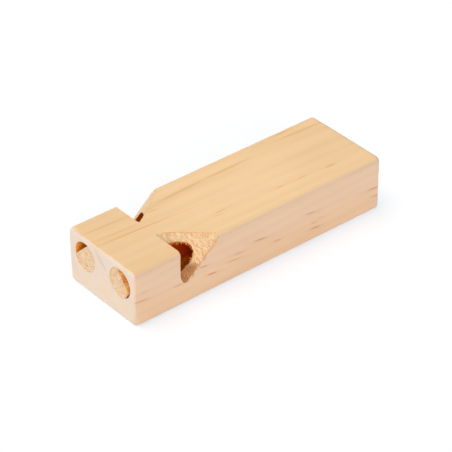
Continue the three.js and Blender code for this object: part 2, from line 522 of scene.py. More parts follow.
def make_notch_tree():
    sizes = {
        "Corner": Vector((block_high.x, notch_wall, block_high.z)),
        "Inward": Vector((0, 0, -1)),
        "Length": HIGH_NOTCH_LENGTH,
        "Slope": RAMP_SLOPE,
        "Tip radius": NOTCH_TIP_RADIUS,
        "Tip step": NOTCH_TIP_STEP,
        "Tip bevel": NOTCH_TIP_BEVEL,
        "Margin": CUT_MARGIN,
        "Cell": SAW_CELL,
        "Ramp roughness": RAMP_ROUGHNESS,
        "Wall roughness": WALL_ROUGHNESS,
        "Stroke width": STROKE_WIDTH,
        "Stroke length": STROKE_LENGTH,
        "Lip height": TORN_LIP_HEIGHT,
        "Torn at top": TORN_LIP_AT_TOP,
        "Torn at side": TORN_LIP_AT_SIDE,
        "Arris wear": ARRIS_WEAR,
        "Tip sweep": 0.0,
        "Breakout": 0.0,
        "Side fullness": 0.0,
    }
    tree, given, result = geometry_tree("notch_cutter", sizes)
    depth = given["Length"] * given["Slope"]
    above = -given["Margin"]
    run_out = given["Margin"] / given["Slope"]
    far = given["Length"] + run_out
    tip_depth = depth - given["Tip step"] * given["Slope"]
    profile = add(tree, "GeometryNodeCurvePrimitiveQuadrilateral", {
        "Point 1": joined(above, 0.0, 0.0),
        "Point 2": joined(tip_depth - given["Tip bevel"], 0.0, 0.0),
        "Point 3": joined(tip_depth, given["Tip step"], 0.0),
        "Point 4": joined(above, far, 0.0),
    }, mode="POINTS")
    number = add(tree, "GeometryNodeInputIndex")["Index"]
    at_tip = maths("COMPARE", number, 1.5, 0.6)
    filleted = add(tree, "GeometryNodeFilletCurve", {
        "Curve": profile["Curve"],
        "Count": 6,
        "Radius": at_tip * given["Tip radius"],
    }, mode="POLY")
    reach = depth * 1.2 + given["Margin"]
    line = add(tree, "GeometryNodeCurvePrimitiveLine", {
        "Start": joined(0.0, 0.0, -reach),
        "End": joined(0.0, 0.0, reach),
    })
    outline = resampled(filleted["Curve"], given["Cell"])
    wedge = swept(resampled(line["Curve"], given["Cell"]), outline)

    # Roughness: strokes on the ramp, a fine tooth on the square wall.
    place = add(tree, "GeometryNodeInputPosition")["Position"]
    facing = add(tree, "GeometryNodeInputNormal")["Normal"]
    local = parts_of(place)
    ramp_length = given["Length"] / math.cos(math.atan(RAMP_SLOPE))
    up_slope = local["Y"] / math.cos(math.atan(RAMP_SLOPE))
    turn = stroke_angle(up_slope, ramp_length)
    centred = up_slope - ramp_length * 0.4
    cosine = maths("COSINE", turn)
    sine = maths("SINE", turn)
    along = local["Z"] * cosine + centred * sine
    beside = centred * cosine - local["Z"] * sine
    strokes = joined(along / given["Stroke length"], beside / given["Stroke width"], 3.7)
    stroke_noise = noise(strokes, 1.0, detail=2.5, roughness=0.6)["Fac"] - 0.5
    on_ramp = ramped(parts_of(facing)["X"], 0.55, 0.80)
    ramp_push = stroke_noise * 2.0 * given["Ramp roughness"]
    tooth = noise(place, 1 / (0.6 * MM), detail=2.0)["Fac"] - 0.5
    wall_push = tooth * 2.0 * given["Wall roughness"]

    # The torn lips. How far a point lies under the top face and inside the side face comes from where it
    # will be laid.
    across = maths("CROSS_PRODUCT", given["Inward"], (0, 1, 0))
    into_block = abs(given["Inward"] * local["X"] + across * local["Z"])
    inside = parts_of(into_block)
    at_top = ramped(inside["Z"], given["Lip height"], 0.0)
    at_side = ramped(inside["X"], given["Lip height"], 0.0)
    ragged = 1.0 + stroke_noise * 1.2
    torn = larger(at_top * given["Torn at top"], at_side * given["Torn at side"])
    torn = torn * ramped(local["Y"], 1 * MM, 4 * MM)
    ramp_push = ramp_push + torn * ragged

    # Where a bore's roof is thin, the wood breaks away under the top face. Near the side face a ramp that the
    # saw met twice stands a little full.
    under_top = ramped(inside["Z"], 0.1 * MM, 0.9 * MM) * ramped(inside["Z"], 5.0 * MM, 3.0 * MM)
    broken = under_top * ramped(local["Y"], 6.5 * MM, 4.0 * MM)
    ramp_push = ramp_push + broken * given["Breakout"]
    beyond_tip = smaller(larger(local["Y"] - 1.5 * MM, 0.0), 6.5 * MM)
    full = beyond_tip * given["Side fullness"] * ramped(inside["X"], 8.0 * MM, 1.0 * MM)
    ramp_push = ramp_push - full

    # The square wall's arris is worn where it meets the side face.
    near_side = ramped(inside["X"], 5.0 * MM, 1.0 * MM)
    low_enough = ramped(inside["Z"], 0.5 * MM, 2.5 * MM)
    worn = near_side * low_enough * given["Arris wear"]
    wall_push = wall_push + worn
    push = blended(on_ramp, wall_push, ramp_push)
    rough = place + facing * push

    # Towards the side face the wedge's tip is swept up the ramp, which slants the wall's foot.
    foot_starts = tip_depth - TIP_SWEEP_REACH
    at_foot = ramped(local["X"], foot_starts, tip_depth, smooth=False)
    off_ramp = ramped(local["Y"], given["Tip step"], 4.0 * MM, 1.0, 0.0, smooth=False)
    up_ramp = at_foot * off_ramp * ramped(inside["X"], 9.0 * MM, 3.0 * MM) * given["Tip sweep"]
    rough = rough + joined(up_ramp * -RAMP_SLOPE, up_ramp, 0.0)
    nap = 0.5 - stroke_noise

    # Lay the wedge into the block's corner: into the wood, along the block, and across the corner.
    rough_parts = parts_of(rough)
    laid = given["Corner"] + given["Inward"] * rough_parts["X"]
    laid = laid + joined(0.0, rough_parts["Y"], 0.0)
    laid = laid + across * rough_parts["Z"]
    feed(result, moved(stored(wedge, "nap", nap), "Position", laid))
    return tree


notch_tree = make_notch_tree()
print("notch tree has", len(notch_tree.nodes), "nodes")

# %% [markdown]
# ## Colours, and the pine's figure
#
# Pine is pale early wood with bands of denser late wood, and under a soft light the bands of a planed block
# are hardly darker than the rest. A photograph as a texture would stretch at the corners and stop at the
# cuts. A solid texture doesn't: it is worked out from where a point lies in the wood, so a band that crosses
# an edge runs on round the corner, as it does in a real block. The figure here has three parts: rings round
# a far pith, fine fibres along the grain, and soft clouds of lighter and darker wood.

# %% Pine figure
GRAIN_TURN = Vector((math.radians(1.7), 0, math.radians(3.8)))
PITH = Vector((-42 * MM, 0, -55 * MM))
RING_SPACING = 2.6 * MM
RING_WANDER = 1.6 * MM


def tone(red, green, blue):
    """A colour as it is read off a screen, 0 to 255, turned into the linear colour that a shader takes."""
    linear = []
    for level in (red, green, blue):
        share = level / 255
        linear.append(share / 12.92 if share <= 0.04045 else ((share + 0.055) / 1.055) ** 2.4)
    return (*linear, 1.0)


def mixed(factor, first, second):
    return after("ShaderNodeMix", {0: factor, 6: first, 7: second}, data_type="RGBA")[2]


def shader_group(name, given, returned):
    tree = bpy.data.node_groups.new(name, "ShaderNodeTree")
    for socket_name, kind in given.items():
        tree.interface.new_socket(socket_name, in_out="INPUT", socket_type=kind)
    for socket_name in returned:
        tree.interface.new_socket(socket_name, in_out="OUTPUT", socket_type="NodeSocketFloat")
    return tree, add(tree, "NodeGroupInput"), add(tree, "NodeGroupOutput").inputs


def stretched(vector, across, along):
    """Object coordinates counted in patches that are this wide and, along the grain, this long."""
    return vector / (across, along, across)


def make_figure():
    tree, given, result = shader_group("pine_figure", {}, ("Rings", "Fibres", "Clouds"))
    here = add(tree, "ShaderNodeTexCoord")["Object"]
    grain = add(tree, "ShaderNodeMapping", {"Vector": here, "Rotation": GRAIN_TURN})["Vector"]
    wander = noise(stretched(grain, 11 * MM, 55 * MM), 1.0, detail=1.0)["Color"]
    wander = (wander - (0.5, 0.5, 0.5)) * RING_WANDER
    from_pith = grain + wander - PITH
    flat = from_pith * (1, 0, 1)
    ring = maths("FRACT", maths("LENGTH", flat) / RING_SPACING)
    late = ramped(ring, 0.15, 0.85) * ramped(ring, 1.0, 0.85)
    fibres = noise(stretched(grain, 0.30 * MM, 9 * MM), 1.0, detail=3.0, roughness=0.6)["Fac"]
    clouds = noise(stretched(grain, 5 * MM, 38 * MM), 1.0, detail=2.0)["Fac"]
    feed(result["Rings"], late)
    feed(result["Fibres"], fibres - 0.5)
    feed(result["Clouds"], clouds - 0.5)
    return tree


figure = make_figure()
print("figure tree has", len(figure.nodes), "nodes")

# %% [markdown]
# ## Single grain marks
#
# What makes this block one particular block is a few marks: thin brown lines along the grain, broad olive
# bands, short reddish dashes where resin canals come to the surface, and rosy bands across the mouth end.
# Noise can't put them in their places, so each mark is an ellipsoid inside the wood: long along the grain, a
# few tenths of a millimetre wide, and a little deep. Where a face of the block passes through it, it shows.
# The fibres' noise roughens its outline. The places are real millimetres on the block.

# %% Marks in the wood
MARK_RAGGED = 0.55
MARK_HALO = 0.22


def make_mark():
    given = {
        "Before": "NodeSocketFloat",
        "Fibres": "NodeSocketFloat",
        "Middle": "NodeSocketVector",
        "Turn": "NodeSocketVector",
        "Half size": "NodeSocketVector",
        "Strength": "NodeSocketFloat",
    }
    tree, given, result = shader_group("grain_mark", given, ("Amount",))
    here = add(tree, "ShaderNodeTexCoord")["Object"]
    local = add(tree, "ShaderNodeMapping", {
        "Vector": here,
        "Location": given["Middle"],
        "Rotation": given["Turn"],
        "Scale": given["Half size"],
    }, vector_type="TEXTURE")["Vector"]
    ragged = given["Fibres"] * MARK_RAGGED
    outward = maths("LENGTH", local) + ragged
    core = ramped(outward, 1.2, 0.35)
    halo = ramped(outward, 2.8, 0.6) * MARK_HALO
    amount = larger(core, halo) * given["Strength"]
    feed(result["Amount"], larger(amount, given["Before"]))
    return tree


mark = make_mark()

# On the top face, each as its start and end (x, y), its width and its strength.
TOP_LINES = [
    ((-2.4, -51), (-0.2, -18), 0.55, 0.55),
    ((-5.0, -51), (-3.6, -31), 0.80, 0.30),
    ((-10.1, -51), (-8.8, -31), 0.55, 0.45),
    ((-6.8, -27), (-6.2, -22), 0.50, 0.50),
    ((-8.2, -26), (-8.0, -24), 0.35, 0.35),
    ((-14.5, 31), (-14.4, 38), 0.50, 0.60),
    ((7.1, -11.5), (7.0, -6), 0.45, 0.65),
    ((8.4, -12), (8.3, -9), 0.40, 0.22),
    ((1.4, -9), (1.4, -6), 0.40, 0.25),
    ((8.8, 12), (8.7, 16), 0.45, 0.50),
    ((9.3, 20), (9.2, 25), 0.50, 0.50),
    ((9.9, 31.5), (10.1, 36.5), 0.75, 0.55),
]
TOP_BANDS = [
    ((-9.0, -24), (-9.8, 2), 1.7, 0.55),
    ((-9.7, -6), (-9.9, 20), 1.5, 0.50),
    ((-12.2, 28), (-11.0, 52), 1.5, 0.50),
]
# On the right side, each as its start and end (z, y), its width and its strength.
SIDE_DASHES = [
    ((9.7, -51), (9.2, -44), 0.66, 0.64),
    ((12.4, -48), (12.0, -44), 0.60, 0.26),
    ((8.7, -36), (8.4, -31), 0.54, 0.51),
    ((11.1, -25.5), (10.8, -21.5), 0.60, 0.75),
    ((7.1, -22.5), (6.6, -18), 0.72, 0.81),
    ((8.3, -15), (7.4, -7.5), 0.60, 0.55),
    ((9.8, -12), (9.3, -7), 0.60, 0.51),
    ((11.2, -4), (10.4, 2.2), 0.72, 0.72),
    ((7.4, 4.5), (7.1, 8), 0.54, 0.59),
    ((11.8, 17.5), (11.0, 22.5), 0.60, 0.64),
    ((7.2, 20), (6.9, 23), 0.54, 0.47),
    ((5.2, 19.5), (4.8, 24.5), 0.66, 0.85),
    ((8.1, 22), (7.5, 27), 0.54, 0.30),
    ((9.4, 43.5), (8.7, 51), 0.72, 0.72),
    ((6.1, 45.5), (5.6, 51), 0.60, 0.68),
]
# On the mouth end, each as its start and end (x, z), its width and its strength.
END_BANDS = [
    ((-2.6, 19.0), (3.0, 13.8), 1.5, 0.60),
    ((-14.5, 9.0), (-11.5, 4.0), 1.8, 0.30),
    ((3.5, 3.5), (9.5, 1.0), 1.6, 0.25),
]
TOP_MARK_DEPTH = 1.4 * MM
SIDE_MARK_DEPTH = 1.2 * MM


def marked(fibres, marks, face):
    """The darkest of a list of marks at each point of the wood, all of them on one face of the block."""
    amount = 0.0
    for (start_across, start), (end_across, end), width, strength in marks:
        across = (start_across + end_across) / 2 * MM
        along = (start + end) / 2 * MM
        half_length = math.hypot(end - start, end_across - start_across) / 2 * MM
        turn = math.atan2(end_across - start_across, end - start)
        half_width = width / 2 * MM
        if face == "top":
            middle = (across, along, block_high.z)
            turned = (0, 0, -turn)
            half = (half_width, half_length, TOP_MARK_DEPTH)
        elif face == "end":
            middle = (across, block_low.y, along)
            turned = (0, turn, 0)
            half = (half_width, SIDE_MARK_DEPTH, half_length)
        else:
            middle = (block_high.x, along, across)
            turned = (turn, 0, 0)
            half = (SIDE_MARK_DEPTH, half_length, half_width)
        amount = after("ShaderNodeGroup", {
            "Before": amount,
            "Fibres": fibres,
            "Strength": strength,
            "Middle": middle,
            "Turn": turned,
            "Half size": half,
        }, node_tree=mark)["Amount"]
    return amount


print(len(TOP_LINES) + len(TOP_BANDS), "marks on the top,", len(SIDE_DASHES), "on the side")

# %% [markdown]
# ## Planed pine
#
# A block shows three kinds of pine. The broad face is a warm cream, the narrow side is pinker and cuts
# through the resin canals, and the end grain is palest, with the growth rings showing at the closed end.
# The material blends them by the direction that the face looks in, in the object's own coordinates. The
# round edges of an end belong partly to the end grain: more so at the top, where the paper cut them flat.
# Sanding presses and burnishes the long edges, which turn a deeper yellow. The marks and the figure are laid
# over that, and a very fine bump follows the fibres.

# %% Planed pine material
BROAD_FACE = tone(249, 210, 160)
BROAD_PALE = tone(255, 216, 166)
SIDE_UPPER = tone(240, 203, 171)
SIDE_LOWER = tone(242, 202, 164)
END_GRAIN = tone(223, 203, 181)
END_PINK = tone(221, 204, 190)
END_PORE = tone(206, 176, 150)
END_ROSE = tone(208, 178, 154)
SANDED_EDGE = tone(247, 203, 146)
LINE_BROWN = tone(228, 150, 78)
BAND_OLIVE = tone(226, 174, 98)
RESIN_RED = tone(210, 132, 84)
FIBRE_SHADE = tone(222, 172, 118)
BURNISH = 0.45
END_PATCH = 5 * MM
END_PORE_SIZE = 0.45 * MM


def new_material(name):
    material = bpy.data.materials.new(name)
    material.use_nodes = True
    tree = material.node_tree
    shader = next(n for n in tree.nodes if n.type == "BSDF_PRINCIPLED")
    return material, tree, shader


def figured(tree):
    return add(tree, "ShaderNodeGroup", node_tree=figure)


def bumped(shader, height, distance):
    bump = after("ShaderNodeBump", {"Height": height, "Distance": distance, "Strength": 1.0})
    feed(shader.inputs["Normal"], bump["Normal"])


def painted(shader, colour, roughness, specular):
    feed(shader.inputs["Base Color"], colour)
    shader.inputs["Roughness"].default_value = roughness
    shader.inputs["Specular IOR Level"].default_value = specular


def end_grained(tree):
    """The sawn and sanded end of the block: soft pink and tan patches with fine open pores."""
    place = add(tree, "ShaderNodeTexCoord")["Object"]
    patches = noise(place, 1 / END_PATCH, detail=2.0)["Fac"]
    pores = noise(place, 1 / END_PORE_SIZE, detail=2.0, roughness=0.7)["Fac"]
    here = parts_of(place)
    pinkness = patches + ramped(here["Z"], 4 * MM, 18 * MM, -0.1, 0.1)
    pinkness = pinkness + ramped(here["X"], -4 * MM, -14 * MM, 0.0, 0.16)
    colour = mixed(ramped(pinkness, 0.38, 0.62), END_GRAIN, END_PINK)
    colour = mixed(ramped(pores, 0.50, 0.75, 0.0, 0.45), colour, END_PORE)
    at_closed_end = ramped(here["Y"], -10 * MM, 10 * MM, 0.0, 0.5)
    return mixed(figured(tree)["Rings"] * at_closed_end, colour, END_ROSE)


def make_planed_pine():
    material, tree, shader = new_material("planed_pine")
    wood = figured(tree)
    here = parts_of(add(tree, "ShaderNodeTexCoord")["Object"])
    facing = add(tree, "ShaderNodeTexCoord")["Normal"]
    steep = parts_of(abs(facing))
    lower = ramped(here["Z"], 10.5 * MM, 7.0 * MM)
    side = mixed(lower, SIDE_UPPER, SIDE_LOWER)
    from_middle = abs(here["Y"])
    broad = mixed(ramped(from_middle, 38 * MM, 12 * MM), BROAD_FACE, BROAD_PALE)
    sideways = ramped(steep["X"], 0.45, 0.85)
    upright = ramped(steep["Z"], 0.35, 0.10)
    colour = mixed(larger(sideways, upright), broad, side)
    late = ramped(here["Z"], 5 * MM, 16 * MM, 0.0, 0.20)
    on_end = ramped(steep["Y"] - late, 0.62, 0.80)
    turning = ramped(steep["Y"], 0.24, 0.66)
    near_end = turning * ramped(steep["Z"], 0.10, 0.30)
    colour = mixed(larger(on_end, near_end), colour, end_grained(tree))
    off_side = ramped(steep["X"], 0.75, 0.50)
    rising = ramped(steep["X"], 0.08, 0.30) * off_side
    long_edge = rising * ramped(steep["Y"], 0.40, 0.15)
    colour = mixed(long_edge * BURNISH, colour, SANDED_EDGE)

    shade = wood["Rings"] * 0.10 + wood["Clouds"] * 0.45 + wood["Fibres"] * 0.16
    end_share = ramped(steep["Y"], 0.45, 0.85, 1.0, 0.5)
    shade = maths("MULTIPLY", shade + 0.05, end_share, clamp=True)
    colour = mixed(shade, colour, FIBRE_SHADE)
    colour = mixed(marked(wood["Fibres"], TOP_BANDS, "top"), colour, BAND_OLIVE)
    colour = mixed(marked(wood["Fibres"], TOP_LINES, "top"), colour, LINE_BROWN)
    colour = mixed(marked(wood["Fibres"], SIDE_DASHES, "side"), colour, RESIN_RED)
    colour = mixed(marked(wood["Fibres"], END_BANDS, "end"), colour, END_ROSE)

    feed(shader.inputs["Base Color"], colour)
    feed(shader.inputs["Roughness"], ramped(wood["Fibres"], -0.3, 0.3, 0.50, 0.64))
    bumped(shader, wood["Fibres"], 0.02 * MM)
    return material


planed_pine = make_planed_pine()
print("planed pine has", len(planed_pine.node_tree.nodes), "nodes")

# %% [markdown]
# ## Bored, sawn and torn pine, and the dowels
#
# The same wood looks different where a tool has been. A bore is pale at its rim and a deeper orange further
# in, with faint rings from the drill. That orange is painted light: it stands in for the warm light that
# bounces round in the bore and shines through its thin walls. Deep in, a dark red is painted shade, a
# brighter orange at the bore's foot and through the whole low bore is painted light, and a dark spot where
# the high windway narrows is painted shade. A saw cut has a nap: raised fibres that catch the light and are
# almost cream, over darker hollows. In the notch's tip the ramp is painted a speckled brown, a painted shade
# that deepens the shadow which the square wall casts there. The cutter tree stores how high the nap is at
# each point, so that colour and shape agree. Torn fibres are pale at their tips, and where they hang into a
# bore they are painted a warm orange, painted light for the light that bounces round in it. The dowels are
# a yellower wood. Their sawn ends are speckled with open pores. Their flats are streaked and painted orange,
# painted shade and bounced light of the windway, with one dark spot and one painted highlight.

# %% Other materials
BORE_RIM = tone(248, 214, 156)
# The orange of a bore is painted light, for the warm light that bounces round in it and shines through its
# thin walls.
MOUTH_OF_BORE = tone(238, 170, 88)
WINDWAY_ORANGE = tone(255, 176, 28)
# Deep in a bore: painted shade, and painted light at its foot and through the whole low bore.
DEEP_BORE_SHADE = tone(218, 70, 6)
BORE_PAINTED_LIGHT = tone(255, 170, 20)
BORE_STREAK = tone(255, 170, 36)
WINDWAY_CORNER_SHADE = tone(200, 48, 2)
NAP_LOW = tone(224, 176, 123)
NAP_HIGH = tone(240, 218, 184)
# Painted shade in each notch's tip, speckled.
NAP_IN_SHADED_TIP = tone(212, 146, 98)
TIP_SPECK = tone(150, 84, 44)
NAP_OF_LOW_NOTCH = tone(239, 215, 184)
TORN_ROOT = tone(240, 178, 112)
TORN_TIP = tone(252, 222, 180)
# Painted light on torn fibres that hang into a bore.
TORN_BORE_LIGHT = tone(250, 172, 92)
# The plugs' flats: a streaked orange, painted shade and bounced light of the windway.
FLAT_PAINTED_SHADE_DEEP = tone(234, 154, 68)
FLAT_PAINTED_SHADE_PALE = tone(255, 216, 136)
FLAT_DARK_TONE = tone(206, 96, 20)
FLAT_HIGHLIGHT_GOLD = tone(255, 190, 60)
DOWEL_PALE = tone(229, 203, 173)
DOWEL_DEEP = tone(222, 188, 149)
DOWEL_PORE = tone(184, 134, 92)
RAW_GLOSS = 0.2
# In the high bore's mouth and on its plug's flat, each as its start and end (x, z), its width and strength.
# Painted shade where the high windway narrows at its lower corner.
SHADED_WINDWAY_CORNERS = [((10.7, 8.6), (14.3, 11.6), 2.2, 1.0)]
# A dark spot on the high plug's flat.
FLAT_DARK_SPOTS = [((10.9, 14.2), (11.4, 14.8), 0.8, 0.9)]
# A painted highlight on the high plug's flat.
FLAT_PAINTED_HIGHLIGHTS = [((12.4, 12.2), (12.8, 12.9), 1.0, 0.9)]


def make_bored_pine():
    material, tree, shader = new_material("bored_pine")
    wood = figured(tree)
    here = add(tree, "ShaderNodeTexCoord")["Object"]
    rings = noise(here / (9 * MM, 0.5 * MM, 9 * MM), 1.0, detail=2.0)["Fac"]
    along = parts_of(here)["Y"]
    # The bore turns from pale to a strong orange inwards: painted light for the warm light bounced round in
    # it.
    colour = mixed(ramped(along, mouth_end + 0.2 * MM, mouth_end + 3.5 * MM), MOUTH_OF_BORE, WINDWAY_ORANGE)
    colour = mixed(ramped(along, mouth_end + 0.2 * MM, mouth_end + 0.7 * MM), BORE_RIM, colour)
    # Painted light and shade deep in the bores: the dark red is painted shade, and the brighter orange at the
    # foot and through the whole low bore is painted light, where light comes in and shines through the thin
    # wood.
    foot = ramped(parts_of(here)["Z"], bore_height - 4.2 * MM, bore_height - 5.1 * MM)
    painted_light_share = larger(foot, ramped(parts_of(here)["X"], 1 * MM, -1 * MM))
    deep = mixed(painted_light_share, DEEP_BORE_SHADE, BORE_PAINTED_LIGHT)
    colour = mixed(ramped(along, mouth_end + 6 * MM, notch_wall - 1 * MM), colour, deep)
    streaks = maths("ADD", wood["Fibres"] * 1.2, rings, clamp=True)
    colour = mixed(ramped(streaks, 0.5, 1.0, 0.0, 0.5), colour, BORE_STREAK)
    # Painted shade in the narrow lower corner of the high windway.
    colour = mixed(marked(wood["Fibres"], SHADED_WINDWAY_CORNERS, "end"), colour, WINDWAY_CORNER_SHADE)
    painted(shader, colour, 0.9, 0.0)
    bumped(shader, rings, 0.06 * MM)
    return material


def make_sawn_pine():
    material, tree, shader = new_material("sawn_pine")
    nap = add(tree, "ShaderNodeAttribute", attribute_name="nap")["Fac"]
    here = add(tree, "ShaderNodeTexCoord")["Object"]
    specks = noise(here, 1 / (0.35 * MM), detail=3.0, roughness=0.7)["Fac"]
    height = nap * 1.5 + specks * 0.5
    colour = mixed(ramped(height, 0.7, 1.3), NAP_LOW, NAP_HIGH)
    along = parts_of(here)["Y"]
    # Painted shade: low in each notch's tip the ramp is painted a speckled brown, which deepens the shadow
    # that the square wall casts there.
    low_down = ramped(parts_of(here)["Z"], bore_height + 0.1 * MM, bore_height - 1.4 * MM)
    tip_shade = ramped(along, notch_wall + 5.0 * MM, notch_wall + 8.0 * MM, 1.0, 0.0)
    tip_shade = tip_shade * low_down
    speckled = mixed(ramped(specks, 0.50, 0.66, 0.0, 0.75), NAP_IN_SHADED_TIP, TIP_SPECK)
    colour = mixed(tip_shade, colour, speckled)
    in_low_notch = ramped(parts_of(here)["X"], 0.0, -1 * MM, 0.0, 0.6)
    painted(shader, mixed(in_low_notch, colour, NAP_OF_LOW_NOTCH), 0.9, 0.0)
    bumped(shader, specks, 0.06 * MM)
    return material


def make_torn_fibre():
    material, tree, shader = new_material("torn_fibre")
    tip = add(tree, "ShaderNodeAttribute", attribute_name="tip")["Fac"]
    colour = mixed(tip, TORN_ROOT, TORN_TIP)
    # Torn fibres that hang into a bore are painted a warm orange: painted light for the warm light bounced
    # round in it.
    here = parts_of(add(tree, "ShaderNodeTexCoord")["Object"])
    level = joined(here["X"], 0.0, here["Z"])
    from_low = maths("DISTANCE", level, (low_bore_x, 0, bore_height))
    from_high = maths("DISTANCE", level, (high_bore_x, 0, bore_height))
    from_axis = smaller(from_low, from_high)
    in_bore = ramped(from_axis, BORE_RADIUS + 0.1 * MM, BORE_RADIUS - 0.3 * MM)
    painted(shader, mixed(in_bore, colour, TORN_BORE_LIGHT), 0.9, 0.0)
    return material


def make_dowel_wood():
    material, tree, shader = new_material("dowel_wood")
    here = add(tree, "ShaderNodeTexCoord")["Object"]
    broad = noise(here / (2.4 * MM, 8 * MM, 2.4 * MM), 1.0, detail=2.0)["Fac"]
    colour = mixed(ramped(broad, 0.3, 0.7), DOWEL_PALE, DOWEL_DEEP)
    fine = noise(here / (0.34 * MM, 3 * MM, 0.34 * MM), 1.0, detail=2.0)["Fac"]
    colour = mixed(ramped(fine, 0.54, 0.66) * 0.9, colour, DOWEL_PORE)
    # The flat is painted a streaked orange: painted shade and bounced light of the windway that it faces.
    streaks = noise(here / (0.5 * MM, 6 * MM, 0.5 * MM), 1.0, detail=2.0)["Fac"]
    planed = mixed(ramped(streaks, 0.35, 0.65), FLAT_PAINTED_SHADE_DEEP, FLAT_PAINTED_SHADE_PALE)
    fibres = figured(tree)["Fibres"]
    # A dark spot on the high plug's flat.
    planed = mixed(marked(fibres, FLAT_DARK_SPOTS, "end"), planed, FLAT_DARK_TONE)
    # A painted highlight on the high plug's flat.
    planed = mixed(marked(fibres, FLAT_PAINTED_HIGHLIGHTS, "end"), planed, FLAT_HIGHLIGHT_GOLD)
    facing = parts_of(add(tree, "ShaderNodeTexCoord")["Normal"])["Y"]
    colour = mixed(ramped(facing, -0.30, -0.55), planed, colour)
    painted(shader, colour, 0.8, RAW_GLOSS)
    bumped(shader, fine, -0.08 * MM)
    return material


bored_pine = make_bored_pine()
sawn_pine = make_sawn_pine()
torn_fibre = make_torn_fibre()
dowel_wood = make_dowel_wood()
print("materials:", [m.name for m in (bored_pine, sawn_pine, torn_fibre, dowel_wood)])

# %% [markdown]
# ## The block, cut and finished
#
# Now the three trees come together as they would in a workshop: the blank, less two bores and two notches,
# with one Mesh Boolean. Before the cut, each cutter's faces are marked with the tool that made them. The
# boolean keeps such marks, so afterwards each face takes the finish of its tool, and edges that are steeper
# than a soft bend are shaded sharp.

# %% Block tree
PLANED = 0.0
BORED = 1.0
SAWN = 3.0
SHARP_ANGLE = math.radians(38)


def inward(side, lean):
    return Vector((-side * math.sin(lean), 0, -math.cos(lean)))


def tool_here(tree):
    inputs = {"Name": "tool"}
    return add(tree, "GeometryNodeInputNamedAttribute", inputs, data_type="FLOAT")["Attribute"]


def faces_of_tool(tree, tool):
    return add(tree, "FunctionNodeCompare", {
        "A": tool_here(tree),
        "B": tool,
        "Epsilon": 0.1,
    }, data_type="FLOAT", operation="EQUAL")["Result"]


def finished_as(geometry, material, selection=None):
    inputs = {"Geometry": geometry, "Material": material}
    if selection is not None:
        inputs["Selection"] = selection
    return after("GeometryNodeSetMaterial", inputs)["Geometry"]


def softly_shaded(geometry):
    soft = after("GeometryNodeSetShadeSmooth", {"Geometry": geometry}, domain="FACE")["Geometry"]
    steep = add(geometry.tree, "GeometryNodeInputMeshEdgeAngle")["Unsigned Angle"] > SHARP_ANGLE
    inputs = {"Geometry": soft, "Selection": steep, "Shade Smooth": False}
    return after("GeometryNodeSetShadeSmooth", inputs, domain="EDGE")["Geometry"]


def make_block_tree():
    sizes = {
        "Edge radius": EDGE_RADIUS,
        "Bore radius": BORE_RADIUS,
        "Ramp roughness": RAMP_ROUGHNESS,
    }
    tree, given, result = geometry_tree("whistle_block", sizes)
    blank = grouped(tree, blank_tree, {"Edge radius": given["Edge radius"]})
    blank = stored(blank, "tool", PLANED, "FACE")
    cutters = []
    low_bore = (low_bore_x, low_chamber, 0.0)
    high_bore = (high_bore_x, high_chamber, HIGH_BORE_DROP)
    for bore_x, chamber, drop in (low_bore, high_bore):
        bore = grouped(tree, bore_tree, {
            "Axis": (bore_x, mouth_end, bore_height),
            "Depth": notch_wall - mouth_end + chamber,
            "Radius": given["Bore radius"],
            "Drop": drop,
        })
        cutters.append(stored(bore, "tool", BORED, "FACE"))
    low_notch = (-1, LOW_NOTCH_LENGTH, LOW_NOTCH_LEAN, LOW_TORN_LIP, ROOF_BREAKOUT, 0.0, 0.0)
    high_notch = (1, HIGH_NOTCH_LENGTH, HIGH_NOTCH_LEAN, TORN_LIP_AT_TOP, 0.0, SIDE_FULLNESS, TIP_SWEEP)
    for side, length, lean, lip, breakout, fullness, sweep in (low_notch, high_notch):
        notch = grouped(tree, notch_tree, {
            "Corner": (side * block_high.x, notch_wall, block_high.z),
            "Inward": inward(side, lean),
            "Length": length,
            "Torn at top": lip,
            "Breakout": breakout,
            "Tip sweep": sweep,
            "Side fullness": fullness,
            "Ramp roughness": given["Ramp roughness"],
        })
        cutters.append(stored(notch, "tool", SAWN, "FACE"))
    cut = add(tree, "GeometryNodeMeshBoolean", {"Mesh 1": blank}, operation="DIFFERENCE", solver="MANIFOLD")
    for cutter in cutters:
        feed(cut.inputs["Mesh 2"], cutter)
    shaded = softly_shaded(cut["Mesh"])
    real = add(tree, "GeometryNodeRealizeInstances", {"Geometry": shaded})["Geometry"]
    real = finished_as(real, planed_pine)
    real = finished_as(real, bored_pine, faces_of_tool(tree, BORED))
    real = finished_as(real, sawn_pine, faces_of_tool(tree, SAWN))
    feed(result, real)
    return tree


def made(name, tree, sizes, start=None):
    """Runs a tree on a mesh, an empty one if none is given, and keeps the result as a plain mesh object."""
    piece = in_scene(name, start or bpy.data.meshes.new(name))
    modifier = piece.modifiers.new(tree.name, "NODES")
    modifier.node_group = tree
    for socket in tree.interface.items_tree:
        if socket.in_out == "INPUT" and socket.name in sizes:
            modifier[socket.identifier] = sizes[socket.name]
    evaluated = piece.evaluated_get(bpy.context.evaluated_depsgraph_get())
    mesh = bpy.data.meshes.new_from_object(evaluated)
    piece.modifiers.remove(modifier)
    piece.data = mesh
    mesh.name = name
    if mesh.materials and mesh.materials[0] is None:
        mesh.materials.pop(index=0)
    mesh.calc_loop_triangles()
    print(name, "has", len(mesh.loop_triangles), "triangles and materials",
          [m.name if m else "none" for m in mesh.materials])
    return piece


block_tree = make_block_tree()
pine_block = made("pine_block", block_tree, {"Edge radius": EDGE_RADIUS})
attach(pine_block, "root")
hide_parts("whistle_body")

